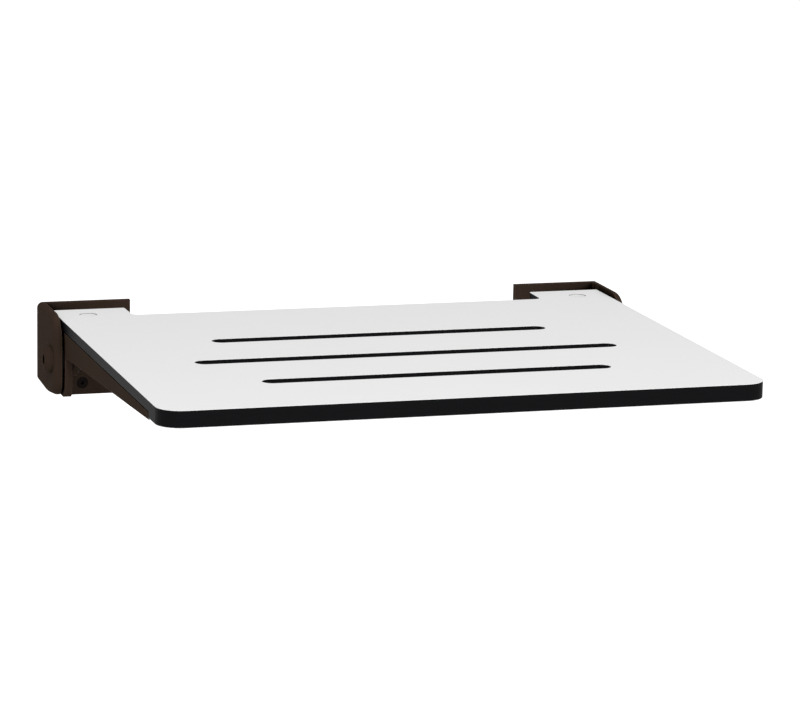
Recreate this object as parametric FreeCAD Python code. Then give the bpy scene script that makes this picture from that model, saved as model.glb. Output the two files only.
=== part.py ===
import FreeCAD, Part
import os
from math import cos, pi, sin

# Wall-mounted fold-up shower seat, in millimetres.
# +Z is up, the wall is the plane Y = 0 and the seat reaches out towards -Y.
# The origin is the centre of the wall screws, midway between the two brackets.
V = FreeCAD.Vector

# Seat board: compact laminate, a black core between two thin white faces
SEAT_WIDTH = 457.2
SEAT_REACH = 396.0
SEAT_TOP_Z = 40.0
BOARD_T = 13.0
FACE_T = 0.4
FRONT_CORNER_R = 18.0
BOARD_EDGE_R = 0.35
REAR_EDGE_Y = -49.2
TAB_REAR_Y = -18.8
TAB_WIDTH = 58.6
CUTOUT_CORNER_R = 6.0
TAB_CORNER_R = 1.5

# Drain slots: distance of each centre line from the front edge, and its length
SLOT_WIDTH = 15.2
SLOTS = [(82.5, 268.0), (157.6, 331.4), (233.1, 268.0)]

# Seat arms: a tapered web let into the side of the board, with a foot that stops on the bracket
WEB_T = 5.8
WEB_LAP = 4.3
WEB_TIP_Y = -358.5
WEB_TIP_H = 5.3
WEB_TIP_R = 3.0
WEB_TAPER = 0.0477
WEB_REAR_Y = -24.0
HEEL_FRONT_Y = -70.0
HEEL_DROP = 60.6
HEEL_CORNER_R = 8.0
HEEL_INNER_R = 4.0
FOOT_FACE_Y = -8.0
FOOT_HEIGHT = 12.0
FOOT_DEPTH = 10.0
FOOT_WIDTH = 14.6
FOOT_RISE = 8.0
FLANGE_T = 4.0
FLANGE_WIDTH = 26.0
FLANGE_FRONT_Y = -296.0
FLANGE_CORNER_R = 8.0
TAB_PLATE_WIDTH = 44.0
TAB_PLATE_FRONT_Y = -60.0
TAB_PLATE_REAR_Y = -26.0
TAB_PLATE_FRONT_R = 6.0
TAB_PLATE_CORNER_R = 5.0
BOSS_R = 14.0
BOSS_T = 6.0
LAP_GAP = 0.2
SHADOW_GAP = 0.8

# Fold axis
PIVOT_Y = -53.0
PIVOT_DROP = 32.1
PIVOT_R = 7.0
PIVOT_THREAD_R = 5.0
RUNNING_GAP = 0.05
BUSH_R = 9.0
BUSH_FLANGE_R = 13.0
BUSH_FLANGE_T = 0.8
PIN_HEAD_R = 10.8
PIN_HEAD_H = 5.8
PIN_SOCKET_AF = 8.0
PIN_SOCKET_DEPTH = 4.5
PIN_HEAD_RIM = 1.0
PIN_CROWN_R = 8.9
PIN_CROWN_H = 4.0
PIN_FLAT_R = 5.8
PIN_END_X = 205.4

# Washers and nut on the fold axis
THRUST_WASHER_R = 12.5
THRUST_WASHER_T = 1.0
END_WASHER_R = 11.5
END_WASHER_T = 1.5
END_PLAY = 0.2
NUT_AF = 17.0
NUT_T = 8.0
NUT_COLLAR_T = 2.5
NUT_COLLAR_R = 7.7
NUT_CHAMFER_R = 9.5

# Wall brackets: a plate with one ear at its outer end
PLATE_T = 5.0
PLATE_INNER_X = 162.2
PLATE_OUTER_X = 236.7
PLATE_RISE = 3.5
PLATE_DROP = 72.0
TONGUE_OUTER_X = 219.5
TONGUE_CORNER_R = 4.0
EAR_T = 6.1
EAR_WALL_DROP = 60.5
EAR_FRONT_Y = -68.7
EAR_TOP_R = 21.0
EAR_LOW_Y = -34.0
EAR_LOW_DROP = 62.5
EAR_LOW_R = 60.0
EAR_FRONT_DROP = 58.3
EAR_FRONT_R = 14.0
EAR_EDGE_R = 4.5
EAR_ROOT_R = 1.5

# Wall screws: four to a bracket, on a rectangle
SCREW_X = [177.0, 201.0]
SCREW_Z = [-22.5, 22.5]
SCREW_R = 2.5
SCREW_NECK_R = 2.1
SCREW_THREAD_Y = 0.5
SCREW_HOLE_R = 2.8
SCREW_HEAD_R = 4.5
SINK_R = 4.8
SCREW_REACH = 38.0
SCREW_TIP = 6.0
SCREW_POINT_R = 0.6
SCREW_SOCKET_AF = 3.0
SCREW_SOCKET_DEPTH = 2.0

# Screws and inserts that hold the board to the arms
ARM_SCREW_Y = [-275.0, -190.0, -105.0]
ARM_SCREW_R = 2.5
ARM_SCREW_HEAD_R = 4.75
ARM_SCREW_HEAD_H = 3.4
ARM_SCREW_HOLE_R = 2.75
ARM_SCREW_SOCKET_AF = 3.0
ARM_SCREW_SOCKET_DEPTH = 2.0
ARM_SCREW_HEAD_ROUND = 1.6
ARM_SCREW_END_GAP = 1.0
INSERT_R = 4.0
INSERT_LENGTH = 8.5
INSERT_END_GAP = 0.5
TAB_BOLT_X = 204.0
TAB_BOLT_Y = -41.0
TAB_BOLT_R = 3.0
TAB_BOLT_HEAD_R = 5.5
TAB_BOLT_HEAD_H = 3.6
TAB_BOLT_SOCKET_AF = 4.0
TAB_BOLT_SOCKET_DEPTH = 2.2
TAB_BOLT_HOLE_R = 3.25
CAP_R = 7.0
CAP_T = 1.4
CAP_SKIRT_R = 6.2
CAP_SKIRT_T = 1.2
CAP_SINK = 0.35
CAP_GAP = 0.15
CAP_WALL = 1.3
CAP_ROUND = 0.4
FIT_GAP = 0.05

# Stop pads in the feet of the arms
PAD_R = 4.5
PAD_STEM_R = 2.0
PAD_STEM_LENGTH = 7.0
PAD_END_GAP = 0.3

# Derived places
HALF_WIDTH = SEAT_WIDTH / 2
BOARD_UNDER_Z = SEAT_TOP_Z - BOARD_T
TAB_INNER_X = HALF_WIDTH - TAB_WIDTH
WEB_TOP_Z = BOARD_UNDER_Z + WEB_LAP
WEB_INNER_X = HALF_WIDTH - WEB_T
BOSS_INNER_X = WEB_INNER_X - BOSS_T
HEEL_BOTTOM_Z = SEAT_TOP_Z - HEEL_DROP
FOOT_INNER_X = HALF_WIDTH - FOOT_WIDTH
PIVOT_Z = SEAT_TOP_Z - PIVOT_DROP
EAR_INNER_X = PLATE_OUTER_X - EAR_T
PLATE_TOP_Z = SEAT_TOP_Z + PLATE_RISE
PLATE_BOTTOM_Z = SEAT_TOP_Z - PLATE_DROP
EAR_WALL_Z = SEAT_TOP_Z - EAR_WALL_DROP
ARM_SCREW_X = WEB_INNER_X - FLANGE_WIDTH / 2
SHOULDER_END_X = BOSS_INNER_X - END_PLAY
PAD_X = (FOOT_INNER_X + HALF_WIDTH) / 2
PAD_Z = HEEL_BOTTOM_Z + FOOT_HEIGHT / 2
CAP_TOP_Z = SEAT_TOP_Z - CAP_SINK
CAP_UNDER_Z = CAP_TOP_Z - CAP_T
BOLT_TOP_Z = CAP_UNDER_Z - CAP_SKIRT_T


def box(x, y, z):
    """A box from three (low, high) pairs."""
    corner = V(x[0], y[0], z[0])
    return Part.makeBox(x[1] - x[0], y[1] - y[0], z[1] - z[0], corner)


def prism(points, direction):
    """A flat closed outline of 3-D points, pushed along a direction."""
    outline = Part.makePolygon(points + [points[0]])
    return Part.Face(outline).extrude(direction)


def turned_x(radius, x_from, x_to):
    """A cylinder along X on the fold axis."""
    end = V(min(x_from, x_to), PIVOT_Y, PIVOT_Z)
    return Part.makeCylinder(radius, abs(x_to - x_from), end, V(1, 0, 0))


def round_z(radius, x, y, z_from, z_to):
    return Part.makeCylinder(radius, z_to - z_from, V(x, y, z_from), V(0, 0, 1))


def hexagon(centre, across_flats, direction):
    """A hexagonal bar from a centre point, as long as its direction vector."""
    corner_r = across_flats / 2 / cos(pi / 6)
    step = pi / 3
    axis = V(direction).normalize()
    side = V(0, 0, 1) if abs(axis.z) < 0.5 else V(1, 0, 0)
    other = axis.cross(side)
    points = []
    for k in range(6):
        points.append(centre + side * (corner_r * cos(k * step)) + other * (corner_r * sin(k * step)))
    return prism(points, direction)


def rounded(solid, radius, chosen):
    """Fillets the edges whose centre passes the test."""
    edges = [e for e in solid.Edges if chosen(e.BoundBox)]
    return solid.makeFillet(radius, edges)


def near(here, there):
    return abs(here - there) < 0.01


def stands_at(x, y):
    """Tests for an upright edge at a place in plan."""
    return lambda b: b.ZLength > 1 and b.XLength < 0.01 and near(b.Center.x, x) and near(b.Center.y, y)


def crosses_at(y, z):
    """Tests for an edge that runs along X at a place in the side view."""
    return lambda b: b.XLength > 1 and b.YLength < 0.01 and near(b.Center.y, y) and near(b.Center.z, z)


def mirrored(solid):
    return solid.mirror(V(0, 0, 0), V(1, 0, 0))


def both_sides(solid):
    return Part.makeCompound([solid, mirrored(solid)])


# ---------------------------------------------------------------- seat board

def slot(from_front, length):
    """A drain slot with round ends, cut right through the board."""
    y = from_front - SEAT_REACH
    run = length / 2 - SLOT_WIDTH / 2
    z = (BOARD_UNDER_Z - 1, SEAT_TOP_Z + 1)
    cutter = box((-run, run), (y - SLOT_WIDTH / 2, y + SLOT_WIDTH / 2), z)
    for x in (-run, run):
        cutter = cutter.fuse(round_z(SLOT_WIDTH / 2, x, y, z[0], z[1]))
    return cutter.removeSplitter()


def board_blank():
    """The whole board with its slots and eased edges, before it is let in and drilled."""
    plan = [(-HALF_WIDTH, -SEAT_REACH), (HALF_WIDTH, -SEAT_REACH), (HALF_WIDTH, TAB_REAR_Y),
            (TAB_INNER_X, TAB_REAR_Y), (TAB_INNER_X, REAR_EDGE_Y), (-TAB_INNER_X, REAR_EDGE_Y),
            (-TAB_INNER_X, TAB_REAR_Y), (-HALF_WIDTH, TAB_REAR_Y)]
    blank = prism([V(x, y, BOARD_UNDER_Z) for x, y in plan], V(0, 0, BOARD_T))
    for x in (-HALF_WIDTH, HALF_WIDTH):
        blank = rounded(blank, FRONT_CORNER_R, stands_at(x, -SEAT_REACH))
        blank = rounded(blank, TAB_CORNER_R, stands_at(x, TAB_REAR_Y))
    for x in (-TAB_INNER_X, TAB_INNER_X):
        blank = rounded(blank, CUTOUT_CORNER_R, stands_at(x, REAR_EDGE_Y))
        blank = rounded(blank, TAB_CORNER_R, stands_at(x, TAB_REAR_Y))
    for from_front, length in SLOTS:
        blank = blank.cut(slot(from_front, length))
    return rounded(blank, BOARD_EDGE_R, lambda b: b.ZLength < 0.01)


def arm_recess():
    """The stopped rebate in the board's lower side edge, a little taller than the web that sits in it."""
    return box((WEB_INNER_X - LAP_GAP, HALF_WIDTH + 1), (WEB_TIP_Y - LAP_GAP, TAB_REAR_Y + 1),
               (BOARD_UNDER_Z - 1, WEB_TOP_Z + SHADOW_GAP))


def board_drillings():
    """Blind holes for the inserts, and the counterbored holes of the tab bolts."""
    over = SEAT_TOP_Z + 1
    holes = []
    for y in ARM_SCREW_Y:
        top = BOARD_UNDER_Z + INSERT_LENGTH + INSERT_END_GAP
        holes.append(round_z(INSERT_R, ARM_SCREW_X, y, BOARD_UNDER_Z - 1, top))
    shank = round_z(TAB_BOLT_HOLE_R, TAB_BOLT_X, TAB_BOLT_Y, BOARD_UNDER_Z - 1, over)
    head = round_z(CAP_SKIRT_R, TAB_BOLT_X, TAB_BOLT_Y, BOLT_TOP_Z - TAB_BOLT_HEAD_H, over)
    seat = round_z(CAP_R, TAB_BOLT_X, TAB_BOLT_Y, CAP_UNDER_Z, over)
    return holes + [shank, head, seat]


def board_layers():
    """Cuts the finished board into its under face, its core and its top face."""
    board = board_blank()
    cutters = [arm_recess()] + board_drillings()
    for cutter in cutters:
        board = board.cut(cutter)
        board = board.cut(mirrored(cutter))
    levels = [BOARD_UNDER_Z, BOARD_UNDER_Z + FACE_T, SEAT_TOP_Z - FACE_T, SEAT_TOP_Z]
    wide = (-SEAT_WIDTH, SEAT_WIDTH)
    deep = (-SEAT_REACH - 10, 0)
    layers = []
    for low, high in zip(levels[:-1], levels[1:]):
        layers.append(board.common(box(wide, deep, (low, high))))
    return layers


# ---------------------------------------------------------------- seat arms

def web_low_z(y):
    """Height of the web's lower edge, which tapers towards the tip."""
    return WEB_TOP_Z - WEB_TIP_H - WEB_TAPER * (y - WEB_TIP_Y)


def arm_web():
    """The upright plate of the arm: tapered leg in front, heel around the fold axis, toe behind."""
    heel_top = HEEL_BOTTOM_Z + FOOT_HEIGHT
    heel_low = (HEEL_FRONT_Y, HEEL_BOTTOM_Z)
    heel_high = (HEEL_FRONT_Y, web_low_z(HEEL_FRONT_Y))
    tip_high = (WEB_TIP_Y, WEB_TOP_Z)
    side = [tip_high, (WEB_REAR_Y, WEB_TOP_Z), (WEB_REAR_Y, heel_top + FOOT_RISE),
            (FOOT_FACE_Y - FOOT_DEPTH, heel_top), (FOOT_FACE_Y, heel_top), (FOOT_FACE_Y, HEEL_BOTTOM_Z),
            heel_low, heel_high, (WEB_TIP_Y, web_low_z(WEB_TIP_Y))]
    web = prism([V(WEB_INNER_X, y, z) for y, z in side], V(WEB_T, 0, 0))
    for corner, r in [(heel_low, HEEL_CORNER_R), (heel_high, HEEL_INNER_R), (tip_high, WEB_TIP_R)]:
        web = rounded(web, r, crosses_at(*corner))
    return web


def seat_arm():
    """One arm: web, flange and tab plate under the board, bearing boss, and foot."""
    under = (BOARD_UNDER_Z - FLANGE_T, BOARD_UNDER_Z)
    flange_x = WEB_INNER_X - FLANGE_WIDTH
    plate_x = WEB_INNER_X - TAB_PLATE_WIDTH
    arm = arm_web()
    arm = arm.fuse(box((flange_x, WEB_INNER_X), (FLANGE_FRONT_Y, TAB_PLATE_REAR_Y), under))
    arm = arm.fuse(box((plate_x, WEB_INNER_X), (TAB_PLATE_FRONT_Y, TAB_PLATE_REAR_Y), under))
    arm = arm.fuse(turned_x(BOSS_R, BOSS_INNER_X, WEB_INNER_X))
    foot = box((FOOT_INNER_X, HALF_WIDTH), (FOOT_FACE_Y - FOOT_DEPTH, FOOT_FACE_Y),
               (HEEL_BOTTOM_Z, HEEL_BOTTOM_Z + FOOT_HEIGHT))
    arm = arm.fuse(foot).removeSplitter()
    arm = rounded(arm, FLANGE_CORNER_R, stands_at(flange_x, FLANGE_FRONT_Y))
    arm = rounded(arm, TAB_PLATE_FRONT_R, stands_at(flange_x, TAB_PLATE_FRONT_Y))
    for y in (TAB_PLATE_FRONT_Y, TAB_PLATE_REAR_Y):
        arm = rounded(arm, TAB_PLATE_CORNER_R, stands_at(plate_x, y))
    arm = arm.cut(turned_x(BUSH_R, BOSS_INNER_X - 1, HALF_WIDTH + 1))
    for y in ARM_SCREW_Y:
        arm = arm.cut(round_z(ARM_SCREW_HOLE_R, ARM_SCREW_X, y, under[0] - 1, under[1] + 1))
    arm = arm.cut(round_z(TAB_BOLT_R, TAB_BOLT_X, TAB_BOLT_Y, under[0] - 1, under[1] + 1))
    stem = Part.makeCylinder(PAD_STEM_R, PAD_STEM_LENGTH + 1, V(PAD_X, FOOT_FACE_Y + 1, PAD_Z), V(0, -1, 0))
    return arm.cut(stem)


def stop_pad():
    """The moulded pad that bears on the bracket when the seat is down."""
    root = V(PAD_X, FOOT_FACE_Y, PAD_Z)
    head = Part.makeCylinder(PAD_R, -PLATE_T - FOOT_FACE_Y, root, V(0, 1, 0))
    stem = Part.makeCylinder(PAD_STEM_R - FIT_GAP, PAD_STEM_LENGTH - PAD_END_GAP, root, V(0, -1, 0))
    return head.fuse(stem)


# ---------------------------------------------------------------- board fixings

def arm_screw(y):
    """A pan-head screw that comes up through the flange into an insert."""
    head_z = BOARD_UNDER_Z - FLANGE_T
    end_z = BOARD_UNDER_Z + INSERT_LENGTH - ARM_SCREW_END_GAP
    shank = round_z(ARM_SCREW_R - FIT_GAP, ARM_SCREW_X, y, head_z, end_z)
    head = round_z(ARM_SCREW_HEAD_R, ARM_SCREW_X, y, head_z - ARM_SCREW_HEAD_H, head_z)
    head = rounded(head, ARM_SCREW_HEAD_ROUND, lambda b: b.ZLength < 0.01 and b.Center.z < head_z - 1)
    bottom = V(ARM_SCREW_X, y, head_z - ARM_SCREW_HEAD_H)
    socket = hexagon(bottom, ARM_SCREW_SOCKET_AF, V(0, 0, ARM_SCREW_SOCKET_DEPTH))
    return shank.fuse(head).cut(socket)


def thread_insert(y):
    """A brass insert pressed into the core from below."""
    sleeve = round_z(INSERT_R - FIT_GAP, ARM_SCREW_X, y, BOARD_UNDER_Z, BOARD_UNDER_Z + INSERT_LENGTH)
    return sleeve.cut(round_z(ARM_SCREW_R, ARM_SCREW_X, y, BOARD_UNDER_Z - 1, SEAT_TOP_Z))


def tab_bolt():
    """A low-head bolt from the top of the tab into the tapped tab plate."""
    head_z = BOLT_TOP_Z - TAB_BOLT_HEAD_H
    shank = round_z(TAB_BOLT_R - FIT_GAP, TAB_BOLT_X, TAB_BOLT_Y, BOARD_UNDER_Z - FLANGE_T, head_z)
    head = round_z(TAB_BOLT_HEAD_R, TAB_BOLT_X, TAB_BOLT_Y, head_z, BOLT_TOP_Z)
    top = V(TAB_BOLT_X, TAB_BOLT_Y, BOLT_TOP_Z)
    socket = hexagon(top, TAB_BOLT_SOCKET_AF, V(0, 0, -TAB_BOLT_SOCKET_DEPTH))
    return shank.fuse(head).cut(socket)


def tab_cap():
    """A snap-in cap over the tab bolt, a little below the seat's top."""
    disc = round_z(CAP_R - CAP_GAP, TAB_BOLT_X, TAB_BOLT_Y, CAP_UNDER_Z, CAP_TOP_Z)
    disc = rounded(disc, CAP_ROUND, lambda b: b.ZLength < 0.01 and near(b.Center.z, CAP_TOP_Z))
    skirt_r = CAP_SKIRT_R - CAP_GAP
    skirt = round_z(skirt_r, TAB_BOLT_X, TAB_BOLT_Y, BOLT_TOP_Z, CAP_UNDER_Z)
    hollow = round_z(skirt_r - CAP_WALL, TAB_BOLT_X, TAB_BOLT_Y, BOLT_TOP_Z - 1, CAP_UNDER_Z)
    return disc.fuse(skirt.cut(hollow)).removeSplitter()


# ---------------------------------------------------------------- fold axis

def pivot_pin():
    """A shoulder bolt with a low domed head and a hexagon socket."""
    x = PLATE_OUTER_X
    seat = [V(x, 0, 0), V(x, PIN_HEAD_R, 0)]
    rim = V(x + PIN_HEAD_RIM, PIN_HEAD_R, 0)
    crown = V(x + PIN_CROWN_H, PIN_CROWN_R, 0)
    flat = [V(x + PIN_HEAD_H, PIN_FLAT_R, 0), V(x + PIN_HEAD_H, 0, 0)]
    edges = [Part.makeLine(seat[0], seat[1]), Part.makeLine(seat[1], rim)]
    edges.append(Part.Arc(rim, crown, flat[0]).toShape())
    edges.append(Part.makeLine(flat[0], flat[1]))
    edges.append(Part.makeLine(flat[1], seat[0]))
    head = Part.Face(Part.Wire(edges)).revolve(V(0, 0, 0), V(1, 0, 0), 360)
    head.translate(V(0, PIVOT_Y, PIVOT_Z))
    pin = head.fuse(turned_x(PIVOT_R, SHOULDER_END_X, x))
    pin = pin.fuse(turned_x(PIVOT_THREAD_R, PIN_END_X, SHOULDER_END_X))
    socket = hexagon(V(x + PIN_HEAD_H, PIVOT_Y, PIVOT_Z), PIN_SOCKET_AF, V(-PIN_SOCKET_DEPTH, 0, 0))
    return pin.cut(socket)


def pivot_bush():
    """The flanged bearing bush, pressed into the arm from outside."""
    sleeve = turned_x(BUSH_R - 0.01, BOSS_INNER_X, HALF_WIDTH)
    flange = turned_x(BUSH_FLANGE_R, HALF_WIDTH, HALF_WIDTH + BUSH_FLANGE_T)
    bore = turned_x(PIVOT_R + RUNNING_GAP, BOSS_INNER_X - 1, HALF_WIDTH + 5)
    return sleeve.fuse(flange).cut(bore)


def ring_x(outer_r, bore_r, x_from, x_to):
    return turned_x(outer_r, x_from, x_to).cut(turned_x(bore_r, x_from - 1, x_to + 1))


def lock_nut():
    """A hexagon lock nut with its round nylon collar."""
    outer = SHOULDER_END_X - END_WASHER_T
    inner = outer - NUT_T
    collar = inner + NUT_COLLAR_T
    nut = hexagon(V(outer, PIVOT_Y, PIVOT_Z), NUT_AF, V(collar - outer, 0, 0))
    nut = nut.common(turned_x(NUT_CHAMFER_R, inner, outer))
    nut = nut.fuse(turned_x(NUT_COLLAR_R, inner, collar))
    return nut.cut(turned_x(PIVOT_THREAD_R + FIT_GAP, inner - 1, outer + 1))


# ---------------------------------------------------------------- wall brackets

def ear_plate():
    """The ear: a plate with a round top corner, a shallow curved underside and a tight lower corner."""
    wall_low = (0, EAR_WALL_Z)
    wall_high = (0, PLATE_TOP_Z)
    front_high = (EAR_FRONT_Y, PLATE_TOP_Z)
    front_low = (EAR_FRONT_Y, SEAT_TOP_Z - EAR_FRONT_DROP)
    belly = (EAR_LOW_Y, SEAT_TOP_Z - EAR_LOW_DROP)
    side = [wall_low, wall_high, front_high, front_low, belly]
    ear = prism([V(EAR_INNER_X, y, z) for y, z in side], V(EAR_T, 0, 0))
    for corner, r in [(front_high, EAR_TOP_R), (front_low, EAR_FRONT_R), (belly, EAR_LOW_R)]:
        ear = rounded(ear, r, crosses_at(*corner))
    return ear


def screw_places():
    return [(x, z) for x in SCREW_X for z in SCREW_Z]


def wall_bracket():
    """One bracket: a screwed plate, stepped at its lower outer corner, and the ear that holds the pin."""
    front = [(PLATE_INNER_X, PLATE_TOP_Z), (PLATE_OUTER_X, PLATE_TOP_Z), (PLATE_OUTER_X, EAR_WALL_Z),
             (TONGUE_OUTER_X, EAR_WALL_Z), (TONGUE_OUTER_X, PLATE_BOTTOM_Z), (PLATE_INNER_X, PLATE_BOTTOM_Z)]
    plate = prism([V(x, 0, z) for x, z in front], V(0, -PLATE_T, 0))
    plate = rounded(plate, TONGUE_CORNER_R,
                    lambda b: b.YLength > 1 and b.XLength < 0.01 and near(b.Center.z, PLATE_BOTTOM_Z))
    bracket = plate.fuse(ear_plate()).removeSplitter()
    bracket = rounded(bracket, EAR_EDGE_R, lambda b: b.XMin > PLATE_OUTER_X - 0.01 and b.YMin < -0.01)
    bracket = rounded(bracket, EAR_ROOT_R,
                      lambda b: b.ZLength > 20 and near(b.Center.x, EAR_INNER_X) and near(b.YMin, -PLATE_T)
                      and b.YLength < 0.01)
    bracket = bracket.cut(turned_x(PIVOT_R + FIT_GAP, EAR_INNER_X - 1, PLATE_OUTER_X + 1))
    for x, z in screw_places():
        bracket = bracket.cut(Part.makeCylinder(SCREW_HOLE_R, PLATE_T + 2, V(x, 1, z), V(0, -1, 0)))
        sink = SINK_R - SCREW_HOLE_R
        bracket = bracket.cut(Part.makeCone(SINK_R, SCREW_HOLE_R, sink, V(x, -PLATE_T, z), V(0, 1, 0)))
    return bracket


def wall_screw(x, z):
    """A countersunk wall screw: head, plain neck in the plate, and the thread that stands out of its back."""
    face = -PLATE_T
    neck = face + SCREW_HEAD_R - SCREW_NECK_R
    point = SCREW_REACH - SCREW_TIP
    head = Part.makeCone(SCREW_HEAD_R, SCREW_NECK_R, neck - face, V(x, face, z), V(0, 1, 0))
    shank = Part.makeCylinder(SCREW_NECK_R, SCREW_THREAD_Y - neck, V(x, neck, z), V(0, 1, 0))
    thread = Part.makeCylinder(SCREW_R, point - SCREW_THREAD_Y, V(x, SCREW_THREAD_Y, z), V(0, 1, 0))
    tip = Part.makeCone(SCREW_R, SCREW_POINT_R, SCREW_TIP, V(x, point, z), V(0, 1, 0))
    screw = head.fuse(shank).fuse(thread).fuse(tip).removeSplitter()
    return screw.cut(hexagon(V(x, face, z), SCREW_SOCKET_AF, V(0, SCREW_SOCKET_DEPTH, 0)))


# ---------------------------------------------------------------- nodes

def right_side_nodes():
    """Every piece of the right-hand side, by the name of the piece."""
    outer = SHOULDER_END_X
    thrust_x = EAR_INNER_X - THRUST_WASHER_T
    return {
        "seat_arm": seat_arm(),
        "arm_screws": Part.makeCompound([arm_screw(y) for y in ARM_SCREW_Y]),
        "thread_inserts": Part.makeCompound([thread_insert(y) for y in ARM_SCREW_Y]),
        "tab_cap": tab_cap(),
        "stop_pad": stop_pad(),
        "pivot_bush": pivot_bush(),
        "pivot_pin": pivot_pin(),
        "thrust_washer": ring_x(THRUST_WASHER_R, PIVOT_R + FIT_GAP, thrust_x, EAR_INNER_X),
        "end_washer": ring_x(END_WASHER_R, PIVOT_THREAD_R + 0.2, outer - END_WASHER_T, outer),
        "lock_nut": lock_nut(),
        "wall_bracket": wall_bracket(),
        "wall_screws": Part.makeCompound([wall_screw(x, z) for x, z in screw_places()]),
    }


os.makedirs("parts", exist_ok=True)
under_face, core, top_face = board_layers()
nodes = {"seat_under_face": under_face, "seat_core": core, "seat_top_face": top_face}
nodes["tab_bolts"] = both_sides(tab_bolt())
for name, solid in right_side_nodes().items():
    nodes["right_" + name] = solid
    nodes["left_" + name] = mirrored(solid)
for name, shape in nodes.items():
    assert shape.isValid(), name
    print(name, len(shape.Solids), round(shape.Volume))
    shape.exportStep("parts/" + name + ".step")
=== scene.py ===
from math import cos, pi, radians, sin

import bmesh
import bpy
from mathutils import Matrix, Vector


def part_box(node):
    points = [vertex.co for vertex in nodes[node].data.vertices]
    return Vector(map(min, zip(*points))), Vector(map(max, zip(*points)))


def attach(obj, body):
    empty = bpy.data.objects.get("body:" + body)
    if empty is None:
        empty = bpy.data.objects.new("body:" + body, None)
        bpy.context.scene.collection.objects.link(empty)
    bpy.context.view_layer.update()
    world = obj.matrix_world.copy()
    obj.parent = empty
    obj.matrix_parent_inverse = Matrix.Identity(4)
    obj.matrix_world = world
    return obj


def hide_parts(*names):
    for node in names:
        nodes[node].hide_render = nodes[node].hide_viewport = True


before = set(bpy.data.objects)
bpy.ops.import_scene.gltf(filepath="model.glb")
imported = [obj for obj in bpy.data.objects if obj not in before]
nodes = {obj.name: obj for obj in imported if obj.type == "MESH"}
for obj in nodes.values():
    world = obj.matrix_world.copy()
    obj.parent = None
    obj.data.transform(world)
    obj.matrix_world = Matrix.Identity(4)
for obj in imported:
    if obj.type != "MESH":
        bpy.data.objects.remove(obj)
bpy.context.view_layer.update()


# ---------------------------------------------------------------- wall brackets
# Steel plates with one thick ear each, cut and welded, with the ear's outer edge rounded over.
# They are powder coated a dark oil-rubbed bronze, with a fine pebbled skin that thins at the edges.

class Value:
    """A number that varies over a surface. Arithmetic on it adds Math nodes to its finish."""

    def __init__(self, finish, socket):
        self.finish = finish
        self.socket = socket

    def maths(self, operation, first, second):
        return self.finish.add("ShaderNodeMath", {"operation": operation}, {0: first, 1: second})

    def __add__(self, other):
        return self.maths("ADD", self, other)

    def __radd__(self, other):
        return self.maths("ADD", other, self)

    def __sub__(self, other):
        return self.maths("SUBTRACT", self, other)

    def __rsub__(self, other):
        return self.maths("SUBTRACT", other, self)

    def __mul__(self, other):
        return self.maths("MULTIPLY", self, other)

    def __rmul__(self, other):
        return self.maths("MULTIPLY", other, self)

    def __truediv__(self, other):
        return self.maths("DIVIDE", self, other)

    def __rtruediv__(self, other):
        return self.maths("DIVIDE", other, self)

    def limited(self, low=0.0, high=1.0):
        return self.maths("MINIMUM", self.maths("MAXIMUM", self, low), high)


class Finish:
    """One surface finish: a node material with one shader and the nodes that feed it."""

    def __init__(self, name, **constants):
        self.material = bpy.data.materials.new(name)
        self.material.use_nodes = True
        self.tree = self.material.node_tree
        self.tree.nodes.clear()
        self.shader = self.tree.nodes.new("ShaderNodeBsdfPrincipled")
        output = self.tree.nodes.new("ShaderNodeOutputMaterial")
        self.tree.links.new(self.shader.outputs[0], output.inputs["Surface"])
        for socket, number in constants.items():
            self.shader.inputs[socket.replace("_", " ")].default_value = number

    def add(self, kind, settings, sockets, out=0):
        """One node of any type: its settings first, then the values or links of its sockets."""
        node = self.tree.nodes.new(kind)
        for setting, choice in settings.items():
            setattr(node, setting, choice)
        for socket, number in sockets.items():
            self.feed(node.inputs[socket], number)
        return Value(self, node.outputs[out])

    def feed(self, target, number):
        if isinstance(number, Value):
            self.tree.links.new(number.socket, target)
        else:
            target.default_value = number

    def set(self, **inputs):
        for socket, number in inputs.items():
            self.feed(self.shader.inputs[socket.replace("_", " ")], number)

    def place(self, stretch=(1, 1, 1)):
        """Where a point is on the object, in metres, stretched along each axis."""
        where = self.add("ShaderNodeTexCoord", {}, {}, "Object")
        return self.add("ShaderNodeVectorMath", {"operation": "MULTIPLY"}, {0: where, 1: stretch})

    def noise(self, per_metre, detail=2.0, stretch=(1, 1, 1)):
        sockets = {"Vector": self.place(stretch), "Scale": per_metre, "Detail": detail}
        return self.add("ShaderNodeTexNoise", {}, sockets)

    def mixed(self, mask, first, second):
        return self.add("ShaderNodeMix", {"data_type": "RGBA"}, {0: mask, 6: first, 7: second}, 2)

    def relief(self, height, depth):
        """Feeds the shader's normal with a bump as deep as the given metres."""
        self.set(Normal=self.add("ShaderNodeBump", {}, {"Height": height, "Distance": depth}))

    def edges(self, radius, gain):
        """1 on sharp edges within a radius, 0 elsewhere."""
        soft = self.add("ShaderNodeBevel", {"samples": 6}, {"Radius": radius})
        hard = self.add("ShaderNodeNewGeometry", {}, {}, "Normal")
        alike = self.add("ShaderNodeVectorMath", {"operation": "DOT_PRODUCT"}, {0: soft, 1: hard}, "Value")
        return ((1 - alike) * gain).limited()

    def openness(self, reach):
        """1 on open faces, falling to 0 in gaps much narrower than the reach."""
        return self.add("ShaderNodeAmbientOcclusion", {"samples": 32}, {"Distance": reach}, "AO")


def paint(names, finish):
    """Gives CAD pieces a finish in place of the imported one."""
    for name in names:
        for entry in nodes[name].material_slots:
            entry.material = finish.material


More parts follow.
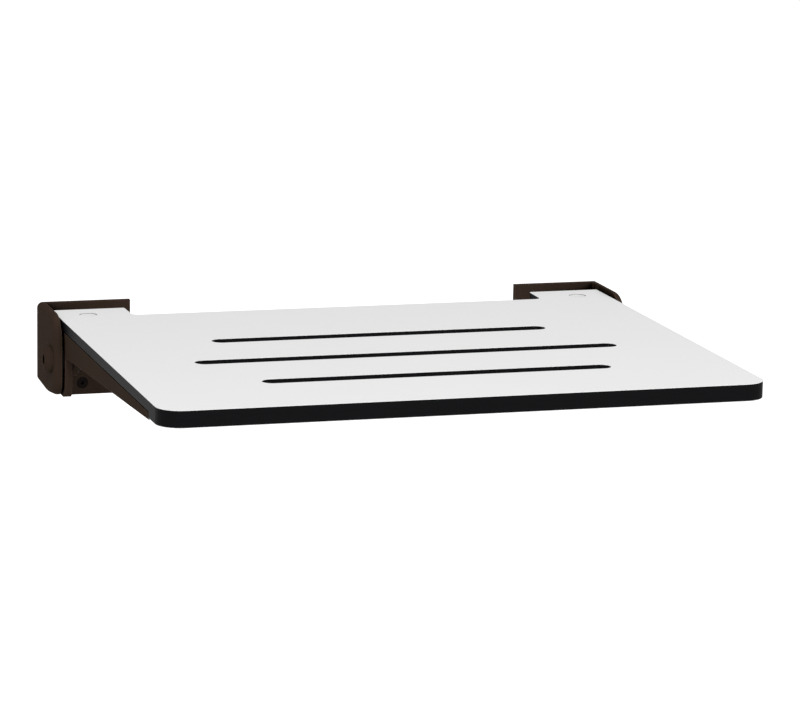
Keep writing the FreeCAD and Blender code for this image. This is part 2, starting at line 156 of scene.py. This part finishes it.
MM = 0.001
BRONZE = (0.030, 0.0195, 0.0145, 1.0)
BRONZE_WARM = (0.039, 0.0255, 0.0185, 1.0)
BRONZE_RUB = (0.15, 0.102, 0.074, 1.0)
# Painted shade: the near black the coat turns to where the seat and arms hide it from the light.
BRONZE_PAINTED_SHADE = (0.002, 0.0008, 0.0004, 1.0)
PAINTED_SHADE_REACH = 120 * MM
PAINTED_SHADE_FROM = 0.45
PAINTED_SHADE_RISE = 0.13

coat = Finish("bronze_powder_coat", Specular_IOR_Level=0.002)
cloud = coat.noise(38.0, 3.0)
pebble = coat.noise(1500.0, 2.0)
rub = coat.edges(0.9 * MM, 5.0) * (coat.noise(260.0, 3.0) * 1.6 - 0.35).limited()
# Painted shade: where ambient occlusion finds the coat enclosed (under the seat, behind the arms, in the
# gaps), its colour falls to near black.
out_of_painted_shade = ((coat.openness(PAINTED_SHADE_REACH) - PAINTED_SHADE_FROM) / PAINTED_SHADE_RISE).limited()
shade = coat.mixed(cloud, BRONZE, BRONZE_WARM)
worn = coat.mixed(rub * 0.5, shade, BRONZE_RUB)
coat.set(Base_Color=coat.mixed(out_of_painted_shade, BRONZE_PAINTED_SHADE, worn))
coat.set(Roughness=0.62 + cloud * 0.10 - rub * 0.10)
coat.relief(pebble, 0.06 * MM)

SIDES = ("left_", "right_")
paint([side + "wall_bracket" for side in SIDES], coat)


# ---------------------------------------------------------------- wall screws
# Countersunk steel screws with a hexagon socket, four to a bracket, driven through the plate
# into the wall. The neck is plain, and the coarse thread is rolled and runs out to a point.

THREAD_STEPS = 6
ROUND_STEPS = 5
SHARP_ANGLE = radians(32)


def hexagonal(across_flats, most=1.0):
    """The radius of a hexagon by angle, cut off by a circle."""
    return lambda angle: min(across_flats / 2 / cos(angle % (pi / 3) - pi / 6), most)


def threaded(start, end, pitch, radius, depth, taper=0.0, point=0.25):
    """Rings of a right-hand thread that fades out at both ends, and tapers to a point if asked."""
    rings = []
    count = round((end - start) / pitch * THREAD_STEPS)
    for k in range(count + 1):
        along = start + (end - start) * k / count
        fade = min(1.0, (along - start) / pitch, (end - along) / pitch)
        size = min(1.0, point + (1 - point) * (end - along) / taper) if taper else 1.0

        def ring(angle, along=along, fade=fade, size=size):
            turn = (along / pitch - angle / (2 * pi)) % 1.0
            crest = 1 - abs(2 * turn - 1)
            return size * (radius - depth * (1 - fade * crest))

        rings.append((along, ring))
    return rings


def rounded(along, radius, size):
    """Rings of a quarter-round edge, from an end face out to a side."""
    turns = [pi / 2 * k / ROUND_STEPS for k in range(ROUND_STEPS + 1)]
    return [(along + size * (1 - cos(t)), radius - size * (1 - sin(t))) for t in turns]


def turned(name, rings, places, axis, sides=48, closed=False):
    """Like pieces in one mesh, each a stack of rings along an axis: (distance, radius or function).
    The ends are capped, or joined to each other to leave a bore."""
    axis = Vector(axis)
    across = Vector((0, 0, 1)) if abs(axis.z) < 0.5 else Vector((1, 0, 0))
    other = axis.cross(across)
    build = bmesh.new()
    for place in places:
        loops = []
        for along, radius in rings:
            loop = []
            for k in range(sides):
                angle = 2 * pi * k / sides
                reach = radius(angle) if callable(radius) else radius
                out = across * cos(angle) + other * sin(angle)
                loop.append(build.verts.new(Vector(place) + axis * along + out * reach))
            loops.append(loop)
        pairs = list(zip(loops, loops[1:]))
        if closed:
            pairs.append((loops[-1], loops[0]))
        else:
            build.faces.new(loops[0])
            build.faces.new(loops[-1])
        for low, high in pairs:
            for k in range(sides):
                build.faces.new((low[k], low[k - 1], high[k - 1], high[k]))
    bmesh.ops.recalc_face_normals(build, faces=build.faces)
    mesh = bpy.data.meshes.new(name)
    build.to_mesh(mesh)
    build.free()
    for face in mesh.polygons:
        face.use_smooth = True
    mesh.set_sharp_from_angle(angle=SHARP_ANGLE)
    piece = bpy.data.objects.new(name, mesh)
    bpy.context.collection.objects.link(piece)
    return piece


def box_of(node):
    """The lowest and highest corners of a CAD node."""
    return [Vector(corner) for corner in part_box(node)]


def stands_for(piece, node, body, finish):
    """Puts a made piece in a CAD node's place, on its body and in its finish."""
    piece.data.materials.append(finish.material)
    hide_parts(node)
    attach(piece, body)


screw_coat = Finish("bronze_screw_coat", Specular_IOR_Level=0.05)
grain = screw_coat.noise(700.0, 2.0)
bright = screw_coat.edges(0.3 * MM, 4.0) * screw_coat.noise(500.0, 2.0) * 0.3
dark = screw_coat.mixed(grain, (0.004, 0.0028, 0.0024, 1), (0.009, 0.0062, 0.0052, 1))
screw_coat.set(Base_Color=screw_coat.mixed(bright, dark, BRONZE_RUB))
screw_coat.set(Roughness=0.40 + grain * 0.15)
screw_coat.relief(grain, 0.03 * MM)

SCREW_SOCKET = hexagonal(3.0 * MM)
SCREW_SOCKET_DEPTH = 2.0 * MM
SCREW_HEAD_R = 4.5 * MM
SCREW_RIM = 0.15 * MM
SCREW_NECK_R = 2.1 * MM
SCREW_NECK_END = 5.4 * MM
SCREW_R = 2.5 * MM
SCREW_THREAD_FROM = 5.5 * MM
SCREW_THREAD_DEPTH = 0.75 * MM
SCREW_PITCH = 2.2 * MM
SCREW_TAPER = 7 * MM

for side in SIDES:
    low, high = box_of(side + "wall_screws")
    length = high.y - low.y
    rings = [(SCREW_SOCKET_DEPTH, SCREW_SOCKET), (0, SCREW_SOCKET), (0, SCREW_HEAD_R - SCREW_RIM)]
    rings += [(SCREW_RIM, SCREW_HEAD_R), (SCREW_HEAD_R - SCREW_NECK_R, SCREW_NECK_R)]
    rings += [(SCREW_NECK_END, SCREW_NECK_R)]
    rings += threaded(SCREW_THREAD_FROM, length, SCREW_PITCH, SCREW_R, SCREW_THREAD_DEPTH, SCREW_TAPER)
    places = [(x, low.y, z) for x in (low.x + SCREW_HEAD_R, high.x - SCREW_HEAD_R)
              for z in (low.z + SCREW_HEAD_R, high.z - SCREW_HEAD_R)]
    screws = turned(side + "screws_with_thread", rings, places, (0, 1, 0), sides=36)
    stands_for(screws, side + "wall_screws", "wall_mount", screw_coat)


# ---------------------------------------------------------------- pivot pins
# Shoulder bolts turned from steel bar, with a low domed head and a hexagon socket. Each goes
# through the ear from outside, carries the arm on its smooth shoulder and ends in a thread.

PIN_SOCKET = hexagonal(8.0 * MM)
PIN_SOCKET_MOUTH = hexagonal(8.8 * MM)
PIN_SOCKET_DEPTH = 4.5 * MM
PIN_FLAT_R = 5.8 * MM
PIN_HEAD_R = 10.8 * MM
PIN_HEAD_H = 5.8 * MM
PIN_DOME_H = 4.8 * MM
PIN_DOME_STEPS = 8
PIN_R = 7.0 * MM
PIN_CHAMFER = 0.4 * MM
PIN_THREAD_R = 5.0 * MM
PIN_THREAD_DEPTH = 0.9 * MM
PIN_PITCH = 1.5 * MM


def on_fold_axis(node):
    """The outer end of a piece on the fold axis, its length, and the way in from that end."""
    low, high = box_of(node)
    inner, outer = sorted((low.x, high.x), key=abs)
    place = (outer, (low.y + high.y) / 2, (low.z + high.z) / 2)
    return place, abs(outer - inner), (-1 if outer > 0 else 1, 0, 0)


dome_turns = [pi / 2 * k / PIN_DOME_STEPS for k in range(PIN_DOME_STEPS + 1)]
dome = [(PIN_DOME_H * (1 - cos(t)), PIN_FLAT_R + (PIN_HEAD_R - PIN_FLAT_R) * sin(t)) for t in dome_turns]

for side in SIDES:
    place, length, inward = on_fold_axis(side + "pivot_pin")
    washer_place = on_fold_axis(side + "end_washer")[0]
    shoulder = abs(place[0]) - abs(washer_place[0])
    rings = [(PIN_SOCKET_DEPTH, PIN_SOCKET), (PIN_CHAMFER, PIN_SOCKET), (0, PIN_SOCKET_MOUTH)]
    rings += dome
    rings += [(PIN_HEAD_H, PIN_HEAD_R), (PIN_HEAD_H, PIN_R)]
    rings += [(shoulder - PIN_CHAMFER, PIN_R), (shoulder, PIN_R - PIN_CHAMFER)]
    rings += threaded(shoulder, length, PIN_PITCH, PIN_THREAD_R, PIN_THREAD_DEPTH)
    pin = turned(side + "shoulder_bolt", rings, [place], inward, sides=60)
    stands_for(pin, side + "pivot_pin", "wall_mount", coat)


# ---------------------------------------------------------------- washers and lock nuts
# Each arm runs between a moulded nylon washer and a stamped steel one. A hexagon lock nut with
# a round nylon collar closes the fold axis and can't work loose as the seat is folded.

nylon = Finish("black_nylon", Roughness=0.6, Specular_IOR_Level=0.02)
fleck = nylon.noise(1200.0, 2.0)
nylon.set(Base_Color=nylon.mixed(fleck, (0.004, 0.004, 0.004, 1), (0.008, 0.008, 0.0085, 1)))
nylon.relief(fleck, 0.03 * MM)
paint([side + "thrust_washer" for side in SIDES], nylon)
paint([side + "end_washer" for side in SIDES], screw_coat)

NUT_AF = 17.0 * MM
NUT_SIDE = hexagonal(NUT_AF, 9.5 * MM)
NUT_END = hexagonal(NUT_AF, 8.6 * MM)
NUT_CHAMFER = 0.6 * MM
NUT_HEX_H = 5.5 * MM
NUT_COLLAR_R = 7.7 * MM
NUT_COLLAR_ROUND = 0.8 * MM
NUT_BORE_R = 5.05 * MM
NUT_MOUTH = 0.5 * MM

for side in SIDES:
    place, height, inward = on_fold_axis(side + "lock_nut")
    rings = [(0, NUT_BORE_R + NUT_MOUTH), (0, NUT_END), (NUT_CHAMFER, NUT_SIDE)]
    rings += [(NUT_HEX_H - NUT_CHAMFER, NUT_SIDE), (NUT_HEX_H, NUT_END), (NUT_HEX_H, NUT_COLLAR_R)]
    collar = rounded(0, NUT_COLLAR_R, NUT_COLLAR_ROUND)
    rings += [(height - along, radius) for along, radius in reversed(collar)]
    rings += [(height, NUT_BORE_R), (NUT_MOUTH, NUT_BORE_R)]
    nut = turned(side + "collared_nut", rings, [place], inward, closed=True)
    stands_for(nut, side + "lock_nut", "wall_mount", screw_coat)


# ---------------------------------------------------------------- seat arms
# Tapered steel side plates with a flange, a tab plate, a bearing boss and a foot welded on, all
# powder coated like the brackets. The web is let into the lower side edge of the board.

# The arms take the same coat, painted shade included: they darken to near black in their gaps and under the
# seat.
paint([side + "seat_arm" for side in SIDES], coat)


# ---------------------------------------------------------------- bushes and stop pads
# The bearing bush is moulded nylon with a flange, pressed into the arm's boss. The stop pad is
# the same nylon, pushed by its stem into the arm's foot, and meets the bracket's plate.

paint([side + part for side in SIDES for part in ("pivot_bush", "stop_pad")], nylon)


# ---------------------------------------------------------------- seat board
# One sheet of compact laminate: pressed black paper layers between two thin white faces. The
# slots and the outline are routed, so the edges show the black core with faint layer lines.

core = Finish("black_core_edge", Specular_IOR_Level=0.023)
sheets = core.noise(60.0, 3.0, (1, 1, 60))
swirl = core.noise(420.0, 3.0, (1, 1, 6))
core.set(Base_Color=core.mixed(sheets, (0.0045, 0.0045, 0.005, 1), (0.008, 0.008, 0.009, 1)))
core.set(Roughness=0.42 + swirl * 0.16)
core.relief(sheets * 0.6 + swirl * 0.4, 0.05 * MM)
paint(["seat_core"], core)

white = Finish("white_laminate", Specular_IOR_Level=0.2)
crystal = white.noise(2200.0, 2.0)
drift = white.noise(9.0, 2.0)
white.set(Base_Color=white.mixed(drift, (0.690, 0.690, 0.690, 1), (0.705, 0.705, 0.705, 1)))
white.set(Roughness=0.42 + crystal * 0.08)
white.relief(crystal, 0.02 * MM)
paint(["seat_top_face", "seat_under_face"], white)


# ---------------------------------------------------------------- thread inserts
# Turned brass sleeves with a straight knurl, pressed into the core from below. They take the
# screws that hold the board down on the arms.

brass = Finish("turned_brass", Metallic=1.0)
lines = brass.noise(900.0, 2.0, (0.2, 0.2, 1))
brass.set(Base_Color=brass.mixed(lines, (0.60, 0.42, 0.17, 1), (0.74, 0.55, 0.27, 1)))
brass.set(Roughness=0.25 + lines * 0.2)

SCREWS_A_SIDE = 3
INSERT_R = 3.95 * MM
INSERT_BORE_R = 2.5 * MM
INSERT_LEAD = 0.3 * MM
INSERT_NOSE = 0.5 * MM
KNURL_FROM = 1.4 * MM
KNURL_RUN_IN = 0.2 * MM
KNURL_STOP = 0.6 * MM
KNURL_TEETH = 24
KNURL_DEPTH = 0.18 * MM


def knurled(angle):
    return INSERT_R - KNURL_DEPTH * (0.5 - 0.5 * cos(KNURL_TEETH * angle))


def in_a_row(node, radius, count):
    """The places of round pieces spaced evenly along Y in one node, and the node's height."""
    low, high = box_of(node)
    step = (high.y - low.y - 2 * radius) / (count - 1)
    middle = (low.x + high.x) / 2
    return [(middle, low.y + radius + k * step, low.z) for k in range(count)], high.z - low.z


for side in SIDES:
    places, height = in_a_row(side + "thread_inserts", INSERT_R, SCREWS_A_SIDE)
    rings = [(0, INSERT_BORE_R), (0, INSERT_R - INSERT_LEAD), (INSERT_LEAD, INSERT_R)]
    rings += [(KNURL_FROM - KNURL_RUN_IN, INSERT_R), (KNURL_FROM, knurled)]
    rings += [(height - KNURL_STOP, knurled)]
    rings += [(height, INSERT_R - INSERT_NOSE), (height, INSERT_BORE_R)]
    inserts = turned(side + "knurled_inserts", rings, places, (0, 0, 1), closed=True)
    stands_for(inserts, side + "thread_inserts", "seat", brass)


# ---------------------------------------------------------------- arm screws
# Plain stainless pan-head screws with a hexagon socket. They come up through the arm's flange
# into the brass inserts, three to a side.

steel = Finish("turned_stainless", Metallic=1.0)
turning = steel.noise(900.0, 2.0, (0.2, 0.2, 1))
steel.set(Base_Color=steel.mixed(turning, (0.50, 0.50, 0.50, 1), (0.64, 0.63, 0.62, 1)))
steel.set(Roughness=0.26 + turning * 0.16)
steel.relief(turning, 0.03 * MM)

ARM_SCREW_SOCKET = hexagonal(3.0 * MM)
ARM_SCREW_SOCKET_DEPTH = 2.0 * MM
ARM_SCREW_HEAD_R = 4.75 * MM
ARM_SCREW_HEAD_H = 3.4 * MM
ARM_SCREW_HEAD_ROUND = 1.6 * MM
ARM_SCREW_R = 2.45 * MM
ARM_SCREW_PITCH = 0.8 * MM
ARM_SCREW_THREAD_DEPTH = 0.45 * MM
ARM_SCREW_THREAD_FROM = 3.6 * MM

for side in SIDES:
    places, height = in_a_row(side + "arm_screws", ARM_SCREW_HEAD_R, SCREWS_A_SIDE)
    rings = [(ARM_SCREW_SOCKET_DEPTH, ARM_SCREW_SOCKET), (0, ARM_SCREW_SOCKET)]
    rings += rounded(0, ARM_SCREW_HEAD_R, ARM_SCREW_HEAD_ROUND)
    rings += [(ARM_SCREW_HEAD_H, ARM_SCREW_HEAD_R)]
    rings += [(ARM_SCREW_HEAD_H, ARM_SCREW_R - ARM_SCREW_THREAD_DEPTH)]
    rings += threaded(ARM_SCREW_THREAD_FROM, height, ARM_SCREW_PITCH, ARM_SCREW_R, ARM_SCREW_THREAD_DEPTH)
    screws = turned(side + "pan_head_screws", rings, places, (0, 0, 1), sides=36)
    stands_for(screws, side + "arm_screws", "seat", steel)


# ---------------------------------------------------------------- tab bolts
# One low-head stainless bolt through each rear tab of the board, sunk in a counterbore and
# screwed into the tapped plate of the arm below.

TAB_BOLT_SOCKET = hexagonal(4.0 * MM)
TAB_BOLT_SOCKET_DEPTH = 2.2 * MM
TAB_BOLT_HEAD_R = 5.5 * MM
TAB_BOLT_HEAD_H = 3.6 * MM
TAB_BOLT_HEAD_ROUND = 0.4 * MM
TAB_BOLT_R = 2.95 * MM
TAB_BOLT_PITCH = 1.0 * MM
TAB_BOLT_THREAD_DEPTH = 0.6 * MM
TAB_BOLT_THREAD_FROM = 3.8 * MM

low, high = box_of("tab_bolts")
places = [(x, (low.y + high.y) / 2, high.z) for x in (low.x + TAB_BOLT_HEAD_R, high.x - TAB_BOLT_HEAD_R)]
length = high.z - low.z
rings = [(TAB_BOLT_SOCKET_DEPTH, TAB_BOLT_SOCKET), (0, TAB_BOLT_SOCKET)]
rings += rounded(0, TAB_BOLT_HEAD_R, TAB_BOLT_HEAD_ROUND)
rings += [(TAB_BOLT_HEAD_H, TAB_BOLT_HEAD_R), (TAB_BOLT_HEAD_H, TAB_BOLT_R - TAB_BOLT_THREAD_DEPTH)]
rings += threaded(TAB_BOLT_THREAD_FROM, length, TAB_BOLT_PITCH, TAB_BOLT_R, TAB_BOLT_THREAD_DEPTH)
bolts = turned("low_head_bolts", rings, places, (0, 0, -1), sides=36)
stands_for(bolts, "tab_bolts", "seat", steel)


# ---------------------------------------------------------------- tab caps
# Moulded white caps that snap into the counterbores over the tab bolts. The top is slightly
# dished and sits just below the board's face.

# Painted shade for the cap: its top darkens towards grey near the counterbore's wall, where ambient
# occlusion finds it enclosed.
CAP_PAINTED_SHADE_REACH = 4 * MM
CAP_PAINTED_SHADE_FROM = 0.45
CAP_PAINTED_SHADE_RISE = 0.4
CAP_PAINTED_SHADE = (0.30, 0.30, 0.30, 1.0)

cap = Finish("white_cap", Roughness=0.35)
haze = cap.noise(300.0, 2.0)
cap_own_white = cap.mixed(haze, (0.655, 0.655, 0.655, 1), (0.675, 0.675, 0.675, 1))
# Painted shade: the cap's white is mixed towards grey where ambient occlusion finds it enclosed.
cap_out_of_painted_shade = ((cap.openness(CAP_PAINTED_SHADE_REACH) - CAP_PAINTED_SHADE_FROM) / CAP_PAINTED_SHADE_RISE).limited()
cap.set(Base_Color=cap.mixed(cap_out_of_painted_shade, CAP_PAINTED_SHADE, cap_own_white))
cap.relief(haze, 0.02 * MM)

CAP_T = 1.4 * MM
CAP_SKIRT_R = 6.05 * MM
CAP_WALL = 1.3 * MM
CAP_DISH = 0.5 * MM
CAP_EDGE = 0.4 * MM
CAP_RIM = 0.15 * MM
CAP_STEPS = 10

for side in SIDES:
    low, high = box_of(side + "tab_cap")
    depth = high.z - low.z
    radius = (high.x - low.x) / 2
    flat = radius - CAP_EDGE
    steps = [flat * k / CAP_STEPS for k in range(1, CAP_STEPS)]
    rings = [(CAP_RIM + CAP_DISH * (0.5 + 0.5 * cos(pi * r / flat)), r) for r in steps]
    rings += rounded(CAP_RIM, radius, CAP_EDGE)
    rings += [(CAP_T, radius), (CAP_T, CAP_SKIRT_R), (depth, CAP_SKIRT_R)]
    rings += [(depth, CAP_SKIRT_R - CAP_WALL), (CAP_T, CAP_SKIRT_R - CAP_WALL)]
    place = ((low.x + high.x) / 2, (low.y + high.y) / 2, high.z)
    dished = turned(side + "dished_cap", rings, [place], (0, 0, -1))
    stands_for(dished, side + "tab_cap", "seat", cap)


# ---------------------------------------------------------------- room: floor, light, camera
# A pale studio floor that glows behind the seat, under an even white sky. One large soft
# light stands high in front on the left and a weaker one on the right.

FLOOR_Z = -0.46
FLOOR_REACH = 30.0
GLOW_FROM = 0.15
GLOW_RISE = 0.35
signs = ((-1, -1), (1, -1), (1, 1), (-1, 1))
floor_corners = [(x * FLOOR_REACH, y * FLOOR_REACH, FLOOR_Z) for x, y in signs]
floor_mesh = bpy.data.meshes.new("floor")
floor_mesh.from_pydata(floor_corners, [], [(0, 1, 2, 3)])
floor = bpy.data.objects.new("floor", floor_mesh)
bpy.context.collection.objects.link(floor)
pale = Finish("pale_floor", Roughness=0.9, Specular_IOR_Level=0.0, Emission_Strength=1.0)
pale.set(Base_Color=pale.mixed(pale.noise(3.0), (0.74, 0.74, 0.74, 1), (0.76, 0.76, 0.76, 1)))
behind = pale.add("ShaderNodeSeparateXYZ", {}, {0: pale.place()}, "Y")
glow = ((behind - GLOW_FROM) / GLOW_RISE).limited()
pale.set(Emission_Color=pale.mixed(glow, (0, 0, 0, 1), (0.7, 0.7, 0.7, 1)))
floor_mesh.materials.append(pale.material)

SKY = 0.55
world = bpy.data.worlds.new("studio")
world.use_nodes = True
sky = world.node_tree.nodes["Background"]
sky.inputs["Color"].default_value = (1, 1, 1, 1)
sky.inputs["Strength"].default_value = SKY
bpy.context.scene.world = world
bpy.context.scene.view_settings.view_transform = "Standard"


def softbox(name, place, aim, size, watts):
    """A square soft light that faces a point."""
    light = bpy.data.lights.new(name, "AREA")
    light.shape = "SQUARE"
    light.size = size
    light.energy = watts
    holder = bpy.data.objects.new(name, light)
    holder.location = place
    holder.rotation_euler = (Vector(aim) - Vector(place)).to_track_quat("-Z", "Y").to_euler()
    bpy.context.collection.objects.link(holder)


seat_centre = (0.0, -0.2, 0.03)
softbox("key", (-1.0, -2.1, 2.4), seat_centre, size=1.6, watts=66)
softbox("fill", (1.8, -1.4, 1.6), seat_centre, size=1.6, watts=25)

CAMERA_YAW = radians(16.96)
CAMERA_PITCH = radians(-11.636)
CAMERA_ROLL = radians(1.042)
CAMERA_PLACE = Vector((-0.8109, -2.8742, 0.6061))
CAMERA_LENS_MM = 168.17
ahead = Vector((sin(CAMERA_YAW) * cos(CAMERA_PITCH), cos(CAMERA_YAW) * cos(CAMERA_PITCH), sin(CAMERA_PITCH)))
level = Vector((cos(CAMERA_YAW), -sin(CAMERA_YAW), 0))
above = level.cross(ahead)
right = cos(CAMERA_ROLL) * level + sin(CAMERA_ROLL) * above
up = cos(CAMERA_ROLL) * above - sin(CAMERA_ROLL) * level
lens = bpy.data.cameras.new("camera")
lens.sensor_width = 36.0
lens.sensor_fit = "HORIZONTAL"
lens.lens = CAMERA_LENS_MM
lens.clip_end = 100.0
camera = bpy.data.objects.new("camera", lens)
camera.matrix_world = Matrix.Translation(CAMERA_PLACE) @ Matrix((right, up, -ahead)).transposed().to_4x4()
bpy.context.collection.objects.link(camera)
bpy.context.scene.camera = camera
